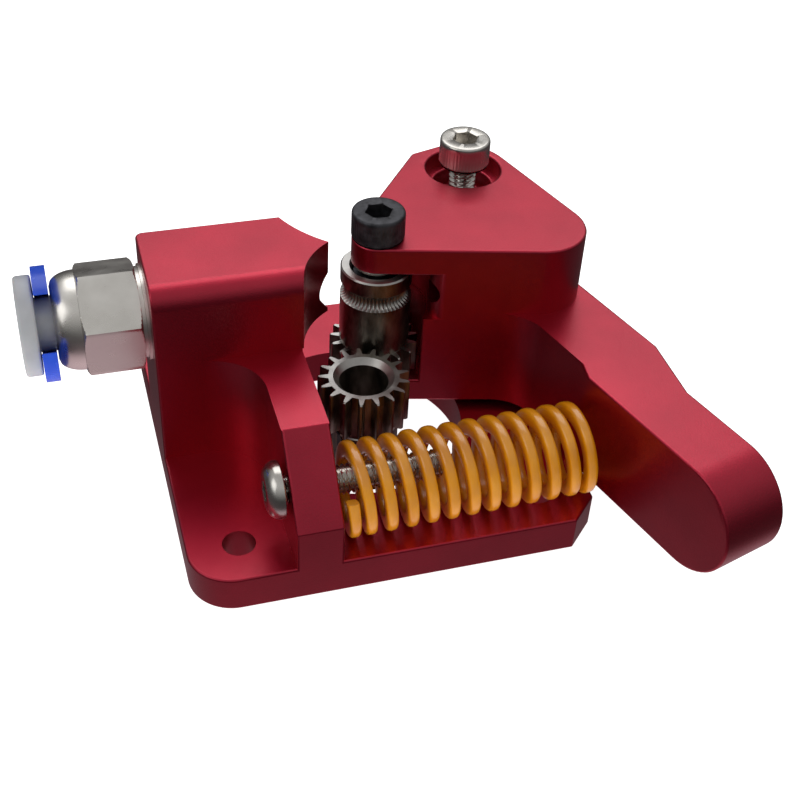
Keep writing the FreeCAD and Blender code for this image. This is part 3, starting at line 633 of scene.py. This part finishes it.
SPRING_TURNS = 12.4
CLOSED_TURNS = 0.8
CLOSED_PITCH = 1.4
WIRE_AXIAL = 1.1
WIRE_RADIAL = 1.7
WIRE_CORNER = 0.38
SPRING_RADIUS = 4.75
SPRING_START = math.radians(155)
SPRING_LEAN = math.radians(1.5)
STEPS_PER_TURN = 60
CORNER_STEPS = 3


def wire_section():
    """Corner-rounded rectangle: (radial, axial) offsets from the wire's centre."""
    across = WIRE_RADIAL / 2 - WIRE_CORNER
    along = WIRE_AXIAL / 2 - WIRE_CORNER
    points = []
    for quarter in range(4):
        corner_u = across if quarter in (0, 3) else -across
        corner_v = along if quarter in (0, 1) else -along
        for step in range(CORNER_STEPS + 1):
            turn = math.pi / 2 * (quarter + step / CORNER_STEPS)
            points.append((corner_u + WIRE_CORNER * math.cos(turn),
                           corner_v + WIRE_CORNER * math.sin(turn)))
    return points


def coil_advance(turns, length):
    """How far the wire's centre has gone along the axis after some turns."""
    open_pitch = (length - 2 * CLOSED_TURNS * CLOSED_PITCH) / (SPRING_TURNS - 2 * CLOSED_TURNS)
    first = min(turns, CLOSED_TURNS)
    last = max(turns - (SPRING_TURNS - CLOSED_TURNS), 0)
    return (first + last) * CLOSED_PITCH + (turns - first - last) * open_pitch


def coil_mesh(name, length):
    """The wire wound about X, from its square-cut tail to its other end."""
    section = wire_section()
    centre_radius = SPRING_RADIUS - WIRE_RADIAL / 2
    steps = int(SPRING_TURNS * STEPS_PER_TURN)
    points = []
    for step in range(steps + 1):
        turns = SPRING_TURNS * step / steps
        turn = SPRING_START + TURN * turns
        along = WIRE_AXIAL / 2 + coil_advance(turns, length)
        for radial, axial in section:
            reach = centre_radius + radial
            points.append((along + axial, reach * math.cos(turn), reach * math.sin(turn)))
    count = len(section)
    faces = [(row * count + side, row * count + (side + 1) % count,
              (row + 1) * count + (side + 1) % count, (row + 1) * count + side)
             for row in range(steps) for side in range(count)]
    faces.append(tuple(reversed(range(count))))
    faces.append(tuple(range(steps * count, (steps + 1) * count)))
    mesh = bpy.data.meshes.new(name)
    mesh.from_pydata(points, [], faces)
    return mesh


def spring():
    """Lacquered compression spring with closed ends, leaning a little."""
    low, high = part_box("spring")
    lean_reach = SPRING_RADIUS * math.sin(SPRING_LEAN)
    length = (high[0] - low[0]) / MM - WIRE_AXIAL - 2 * lean_reach
    mesh = coil_mesh("coil_spring", length)
    start = Vector((low[0] + lean_reach * MM, middle("spring").y, low[2] + SPRING_RADIUS * MM))
    lean = Matrix.Rotation(-SPRING_LEAN, 4, "Y")
    mesh.transform(Matrix.Translation(start) @ lean @ Matrix.Scale(MM, 4))
    piece = piece_for("spring", "coil_spring", mesh)
    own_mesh(piece)
    return piece


# ------------------------------------------------------------------ fitting

# Lengths along the fitting start at the plate's left face, or at the dome's
# mouth or the collar's face where they are depths.
HEX_FLAT = 5.0
HEX_TURN = math.radians(10)
HEX_CHAMFER = 0.35
DOME_FOOT = 3.6
DOME_RISE = 1.4
DOME_LENGTH = 2.5
DOME_STEPS = 14
CHAMFER_STEPS = 6
CHAMFER_START = 0.05
FLANGE_LEFT = -0.7
FLANGE_RADIUS = 4.6
WASHER_RADIUS = 4.85
WASHER_LEFT = -0.35
WASHER_SLOPE = 0.05
WASHER_GAP = 0.02
STUB_RADIUS = 2.9
STUB_END = 5.5
STUB_TAPER = 0.3
STUB_BREAK = 0.2
TUBE_RADIUS = 2.05
TUBE_STOP = -0.8
FILAMENT_RADIUS = 1.0
CHAMBER_RADIUS = 3.25
CHAMBER_DEPTH = 5.1
LIP_RADIUS = 2.9
LIP_EDGE = 0.25
LIP_DEPTH = 0.9
FITTING_SIDES = 180
COLLAR_SIDES = 120
COLLAR_RADIUS = 5.0
COLLAR_LENGTH = 1.7
FACE_RADIUS = 3.6
DISH_RADIUS = 2.3
NECK_RADIUS = 2.75
NECK_LENGTH = 4.2
STEM_RADIUS = 3.15
STEM_SLOPE = 0.15
STEM_TAPER = 0.3
STEM_BREAK = 0.25
DISH_DEPTH = 0.05
MOUTH_DEPTH = 0.3
MOUTH_EDGE = 0.1
MOUTH_FLARE = 0.15


def chamfered_hex(limit):
    """A hexagon whose corners are cut by a cone of a given radius here."""
    flat = hexagon(HEX_FLAT)

    def radius(turn):
        return min(flat(turn), limit)
    return radius


def fitting_place():
    """Rings are built along +X from the plate's left face."""
    centre = middle("fitting_body")
    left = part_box("frame_block")[0][0]
    turn = Matrix.Rotation(HEX_TURN, 4, "X")
    return Matrix.Translation((left, centre.y, centre.z)) @ turn @ ALONG_X


def dome_rings(left):
    """The dome, from its mouth to the hexagon."""
    rings = []
    for step in range(DOME_STEPS + 1):
        away = DOME_LENGTH * (1 - step / DOME_STEPS)
        rise = DOME_RISE * math.sqrt(1 - (away / DOME_LENGTH) ** 2)
        rings.append((DOME_FOOT + rise, left + DOME_LENGTH - away))
    return rings


def chamfer_rings(face, inwards):
    """A hexagon's cut corners, from its end face inwards."""
    corner = HEX_FLAT / math.cos(TURN / 12)
    curve = 1.5
    rings = []
    for step in range(CHAMFER_STEPS + 1):
        share = step / CHAMFER_STEPS
        limit = HEX_FLAT - CHAMFER_START + (corner - HEX_FLAT + 2 * CHAMFER_START) * share
        rings.append((chamfered_hex(limit), face + inwards * HEX_CHAMFER * share ** curve))
    return rings


def fitting():
    """Plated body: dome, chamfered hexagon, flange and threaded stub."""
    left = (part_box("fitting_body")[0][0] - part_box("frame_block")[0][0]) / MM
    outside = [(LIP_RADIUS, left + LIP_EDGE), (CHAMBER_RADIUS, left)] + dome_rings(left)
    outside += chamfer_rings(left + DOME_LENGTH, 1)
    outside += reversed(chamfer_rings(FLANGE_LEFT, -1))
    outside += [(FLANGE_RADIUS, FLANGE_LEFT), (FLANGE_RADIUS, WASHER_LEFT),
                (WASHER_RADIUS, WASHER_LEFT + WASHER_SLOPE), (WASHER_RADIUS, -WASHER_GAP),
                (STUB_RADIUS, 0.0), (STUB_RADIUS, STUB_END - STUB_TAPER),
                (STUB_RADIUS - STUB_BREAK, STUB_END)]
    bore = [(FILAMENT_RADIUS, STUB_END), (FILAMENT_RADIUS, TUBE_STOP), (TUBE_RADIUS, TUBE_STOP),
            (TUBE_RADIUS, left + CHAMBER_DEPTH), (CHAMBER_RADIUS, left + CHAMBER_DEPTH),
            (CHAMBER_RADIUS, left + LIP_DEPTH), (LIP_RADIUS, left + LIP_DEPTH)]
    mesh = ring_mesh("plated_fitting", outside + bore, FITTING_SIDES, fitting_place(), True)
    return piece_for("fitting_body", "plated_fitting", mesh)


def collar():
    """Release collar with its rounded rim, dished face and stem."""
    low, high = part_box("release_collet")
    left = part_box("frame_block")[0][0]
    start = (low[0] - left) / MM
    end = (high[0] - left) / MM
    rim = start + COLLAR_LENGTH
    neck_end = start + NECK_LENGTH
    outside = rounded([(DISH_RADIUS, start + DISH_DEPTH, 0.1), (FACE_RADIUS, start, 0.15),
                       (COLLAR_RADIUS, start, 0.4), (COLLAR_RADIUS, rim, 0.3),
                       (NECK_RADIUS, rim, 0.15)])
    stem = [(NECK_RADIUS, neck_end), (STEM_RADIUS, neck_end + STEM_SLOPE),
            (STEM_RADIUS, end - STEM_TAPER), (STEM_RADIUS - STEM_BREAK, end)]
    bore = [(TUBE_RADIUS, end), (TUBE_RADIUS, start + MOUTH_DEPTH),
            (TUBE_RADIUS + MOUTH_FLARE, start + MOUTH_EDGE)]
    mesh = ring_mesh("collar", outside + stem + bore, COLLAR_SIDES, fitting_place(), True)
    return piece_for("release_collet", "collar", mesh)


CLIP_GAP = 5.6
CLIP_INNER = 2.85
CLIP_OUTER = 5.75
CLIP_TILT = math.radians(36)
CLIP_STEPS = 64
CLIP_EDGE = 0.2


def clip_outline():
    """The open ring's outline: along its inside, then back along its outside."""
    inner_start = math.asin(CLIP_GAP / 2 / CLIP_INNER)
    outer_start = math.asin(CLIP_GAP / 2 / CLIP_OUTER)
    inside = []
    outside = []
    for step in range(CLIP_STEPS + 1):
        share = step / CLIP_STEPS
        turn = math.pi - inner_start - (TURN - 2 * inner_start) * share
        inside.append((CLIP_INNER * math.cos(turn), CLIP_INNER * math.sin(turn)))
        turn = -math.pi + outer_start + (TURN - 2 * outer_start) * share
        outside.append((CLIP_OUTER * math.cos(turn), CLIP_OUTER * math.sin(turn)))
    return inside + outside


def lock_clip():
    """Open ring with squared ends, lying across the fitting's axis."""
    low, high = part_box("lock_clip")
    centre = middle("fitting_body")
    outline = clip_outline()
    count = len(outline)
    thick = (high[0] - low[0]) / MM
    points = [(across, y, z) for across in (0, thick) for y, z in outline]
    faces = [(i, (i + 1) % count, count + (i + 1) % count, count + i) for i in range(count)]
    for i in range(CLIP_STEPS):
        facing = count - 1 - i
        faces.append((i, i + 1, facing - 1, facing))
        faces.append((count + facing, count + facing - 1, count + i + 1, count + i))
    mesh = bpy.data.meshes.new("lock_clip_blue")
    mesh.from_pydata(points, [], faces)
    tilt = Matrix.Rotation(-CLIP_TILT, 4, "X")
    place = Matrix.Translation((low[0], centre.y, centre.z))
    mesh.transform(place @ tilt @ Matrix.Scale(MM, 4))
    face_outwards(mesh)
    piece = piece_for("lock_clip", "lock_clip_blue", mesh)
    bevel = piece.modifiers.new("soft_edges", "BEVEL")
    bevel.width = CLIP_EDGE * MM
    bevel.segments = 3
    bevel.angle_limit = EDGE_ANGLE
    bevel.use_clamp_overlap = True
    return piece


# --------------------------------------------------- camera, floor and light

# The camera's place is in millimetres, and so are its focal length and sensor.
CAMERA_PLACE = (-29.62, -105.33, 98.74)
CAMERA_YAW = math.radians(18.31)
CAMERA_PITCH = math.radians(40.02)
CAMERA_ROLL = math.radians(3.44)
FOCAL_LENGTH = 59.92
SENSOR_WIDTH = 36


def add_camera():
    """A camera that looks down from the front, with the fitting to its left."""
    flat = math.cos(CAMERA_PITCH)
    forward = Vector((math.sin(CAMERA_YAW) * flat, math.cos(CAMERA_YAW) * flat,
                      -math.sin(CAMERA_PITCH)))
    right = Vector((math.cos(CAMERA_YAW), -math.sin(CAMERA_YAW), 0))
    above = right.cross(forward)
    side = math.cos(CAMERA_ROLL) * right + math.sin(CAMERA_ROLL) * above
    top = -math.sin(CAMERA_ROLL) * right + math.cos(CAMERA_ROLL) * above
    matrix = Matrix((side, top, -forward)).transposed().to_4x4()
    matrix.translation = Vector(CAMERA_PLACE) * MM
    data = bpy.data.cameras.new("camera")
    data.lens = FOCAL_LENGTH
    data.sensor_width = SENSOR_WIDTH
    data.clip_start = MM
    camera = bpy.data.objects.new("camera", data)
    bpy.context.collection.objects.link(camera)
    camera.matrix_world = matrix
    bpy.context.scene.camera = camera


FLOOR_HALF = 3.0
FLOOR_GAP = 0.02


def add_floor():
    """A pale floor; glossy rays pass it, so that it doesn't whiten the metal."""
    half = FLOOR_HALF
    mesh = bpy.data.meshes.new("floor")
    mesh.from_pydata([(-half, -half, 0), (half, -half, 0), (half, half, 0), (-half, half, 0)], [],
                     [(0, 1, 2, 3)])
    mesh.materials.append(floor_finish())
    floor = bpy.data.objects.new("floor", mesh)
    bpy.context.collection.objects.link(floor)
    floor.location.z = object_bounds()[0][2] - FLOOR_GAP * MM
    floor.visible_glossy = False


SKY_STRENGTH = 0.5
# Brightness from straight down (0) over the horizon (0.5) to straight up (1).
SKY_STOPS = ((0.0, 1.3), (0.1, 0.9), (0.18, 0.15), (0.5, 0.13), (0.875, 1.0))
HORIZON = 0.5
TINT_BELOW = (1.0, 0.75, 0.82)
NO_TINT = (1.0, 1.0, 1.0)


def add_sky():
    """Soft surroundings: bright overhead and underfoot, dim around the horizon."""
    world = bpy.data.worlds.new("studio")
    bpy.context.scene.world = world
    world.use_nodes = True
    tree = world.node_tree
    place = tree.nodes.new("ShaderNodeTexCoord")
    split = tree.nodes.new("ShaderNodeSeparateXYZ")
    height = tree.nodes.new("ShaderNodeMapRange")
    ramp = tree.nodes.new("ShaderNodeValToRGB")
    background = tree.nodes["Background"]
    height.inputs["From Min"].default_value = -1.0
    tree.links.new(place.outputs["Generated"], split.inputs["Vector"])
    tree.links.new(split.outputs["Z"], height.inputs["Value"])
    tree.links.new(height.outputs["Result"], ramp.inputs["Fac"])
    stops = ramp.color_ramp.elements
    while len(stops) < len(SKY_STOPS):
        stops.new(1.0)
    for stop, (share_up, brightness) in zip(stops, SKY_STOPS):
        tint = TINT_BELOW if share_up < HORIZON else NO_TINT
        stop.position = share_up
        stop.color = (*(brightness * share for share in tint), 1)
    tree.links.new(ramp.outputs["Color"], background.inputs["Color"])
    background.inputs["Strength"].default_value = SKY_STRENGTH
    bpy.context.scene.view_settings.view_transform = "Standard"


SOFTBOXES = (
    # name, place, width, height, watts
    ("overhead_box", (0.05, 0.30, 0.42), 0.50, 0.35, 0.8),
    ("left_box", (-0.40, -0.10, 0.30), 0.30, 0.30, 0.3),
)


def add_softboxes():
    """Rectangular lights that face the frame."""
    target = middle("frame_block")
    for name, place, width, height, power in SOFTBOXES:
        light = bpy.data.lights.new(name, "AREA")
        light.shape = "RECTANGLE"
        light.size = width
        light.size_y = height
        light.energy = power
        box = bpy.data.objects.new(name, light)
        bpy.context.collection.objects.link(box)
        box.location = place
        aim = target - Vector(place)
        box.rotation_euler = aim.to_track_quat("-Z", "Y").to_euler()


# -------------------------------------------------------------------- build

dress_cad_nodes()
milled("frame_block", "milled_frame")
milled("lever_arm", "milled_lever")
cap_screw("pivot_screw", "pivot_cap_screw", PIVOT_THREAD_LENGTH)
cap_screw("idler_axle_screw", "axle_cap_screw", AXLE_THREAD_LENGTH)
guide_screw()
idler_gear()
drive_gear()
spring()
fitting()
collar()
lock_clip()
add_camera()
add_floor()
add_sky()
add_softboxes()
